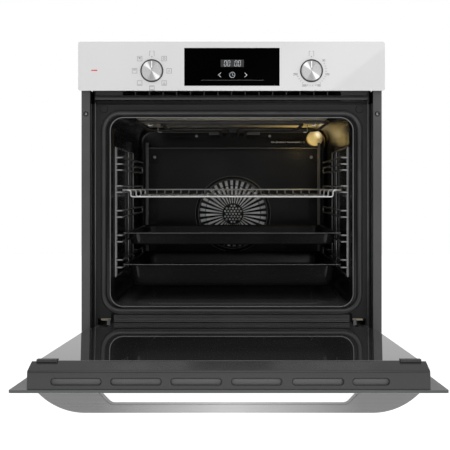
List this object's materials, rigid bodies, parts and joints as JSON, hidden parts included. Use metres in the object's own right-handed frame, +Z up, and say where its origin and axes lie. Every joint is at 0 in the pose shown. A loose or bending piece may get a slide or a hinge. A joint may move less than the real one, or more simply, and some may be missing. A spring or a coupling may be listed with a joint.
{
  "type": "wall oven",
  "caption": "Built-in electric wall oven with drop-down glass door, bow handle, rotary knobs, clock display, convection fan, side racks, wire shelf, baking tray and roasting pan.",
  "frame": {"origin": "centre of the base's flat underside, where the oven rests on its cabinet shelf", "axes": "+X to the right seen from the front, +Y into the cabinet, +Z up; the closed front face lies at y = -0.295"},
  "size_m": [0.595, 1.0166, 0.595],
  "materials": {
    "white_glass": "light grey back-printed glass",
    "black_glass": "black glass",
    "smoked_glass": "reflective glass",
    "lamp_glass": "clear glass, lit from inside",
    "steel": "brushed",
    "bright_wire": "polished wire",
    "plain_steel": "satin",
    "dark_steel": "satin dark grey",
    "zinc": "zinc coated sheet",
    "enamel": "glossy black enamel with fine light specks",
    "rubber": "matte",
    "plastic": "fine grained",
    "wool": "mineral wool",
    "element": "oxidised tube"
  },
  "bodies": {
    "root": {"base_pan": "zinc", "side_panel_left": "zinc", "side_panel_right": "zinc", "rear_panel": "zinc", "top_panel": "zinc", "terminal_block": "plastic", "front_frame": "dark_steel", "trim_left": "dark_steel", "trim_right": "dark_steel", "vent_grille": "plastic", "door_gasket": "rubber", "cavity_liner": "enamel", "insulation_wrap": "wool", "fan_cover": "enamel", "convection_motor": "plain_steel", "ring_element": "element", "grill_element": "element", "grill_hanger": "zinc", "bottom_element": "element", "sensor_probe": "plain_steel", "lamp_housing": "plastic", "lamp_lens": "lamp_glass", "rack_left": "bright_wire", "rack_right": "bright_wire", "control_panel": "white_glass", "display_window": "black_glass", "control_carrier": "plastic", "timer_module": "plastic", "function_switch": "plastic", "thermostat": "plastic", "knob_ring_left": "plastic", "knob_ring_right": "plastic", "blower_housing": "zinc", "blower_motor": "plain_steel", "hinge_arm_left": "zinc", "hinge_arm_right": "zinc"},
    "door": {"outer_glass": "white_glass", "middle_glass": "smoked_glass", "inner_glass": "smoked_glass", "door_top_profile": "dark_steel", "door_bottom_rail": "dark_steel", "door_rail_left": "dark_steel", "door_rail_right": "dark_steel", "handle": "steel", "glass_clip_left": "plastic", "glass_clip_right": "plastic", "hinge_body_left": "zinc", "hinge_body_right": "zinc", "hinge_spring_left": "plain_steel", "hinge_spring_right": "plain_steel"},
    "function_knob": {"function_knob": "steel"},
    "thermostat_knob": {"thermostat_knob": "steel"},
    "fan": {"fan_wheel": "plain_steel", "fan_shaft": "plain_steel"},
    "blower": {"blower_wheel": "zinc"},
    "wire_shelf": {"wire_shelf": "bright_wire"},
    "baking_tray": {"baking_tray": "enamel"},
    "roasting_pan": {"roasting_pan": "enamel"},
    "latch_left": {"hinge_latch_left": "zinc"},
    "latch_right": {"hinge_latch_right": "zinc"}
  },
  "joints": [
    {"name": "door_hinge", "type": "hinge", "parent": "root", "child": "door", "pos_m": [0, -0.275, 0.0273], "axis": [-1, 0, 0], "range_deg": [0, 86.6], "deforming": ["hinge_spring_left", "hinge_spring_right"]},
    {"name": "function_knob_turn", "type": "hinge", "parent": "root", "child": "function_knob", "pos_m": [-0.1544, -0.295, 0.5384], "axis": [0, 1, 0], "continuous": true},
    {"name": "thermostat_knob_turn", "type": "hinge", "parent": "root", "child": "thermostat_knob", "pos_m": [0.155, -0.295, 0.5384], "axis": [0, 1, 0], "range_deg": [0, 270]},
    {"name": "fan_spin", "type": "hinge", "parent": "root", "child": "fan", "pos_m": [0, 0.157, 0.246], "axis": [0, 1, 0], "continuous": true},
    {"name": "blower_spin", "type": "hinge", "parent": "root", "child": "blower", "pos_m": [0, 0.0695, 0.525], "axis": [1, 0, 0], "continuous": true},
    {"name": "wire_shelf_slide", "type": "slide", "parent": "root", "child": "wire_shelf", "axis": [0, 1, 0], "range_m": [-0.36, 0]},
    {"name": "baking_tray_slide", "type": "slide", "parent": "root", "child": "baking_tray", "axis": [0, 1, 0], "range_m": [-0.36, 0]},
    {"name": "roasting_pan_slide", "type": "slide", "parent": "root", "child": "roasting_pan", "axis": [0, 1, 0], "range_m": [-0.36, 0]},
    {"name": "latch_left_flip", "type": "hinge", "parent": "root", "child": "latch_left", "pos_m": [-0.246, -0.251, 0.0385], "axis": [1, 0, 0], "range_deg": [0, 80]},
    {"name": "latch_right_flip", "type": "hinge", "parent": "root", "child": "latch_right", "pos_m": [0.246, -0.251, 0.0385], "axis": [1, 0, 0], "range_deg": [0, 80]}
  ]
}
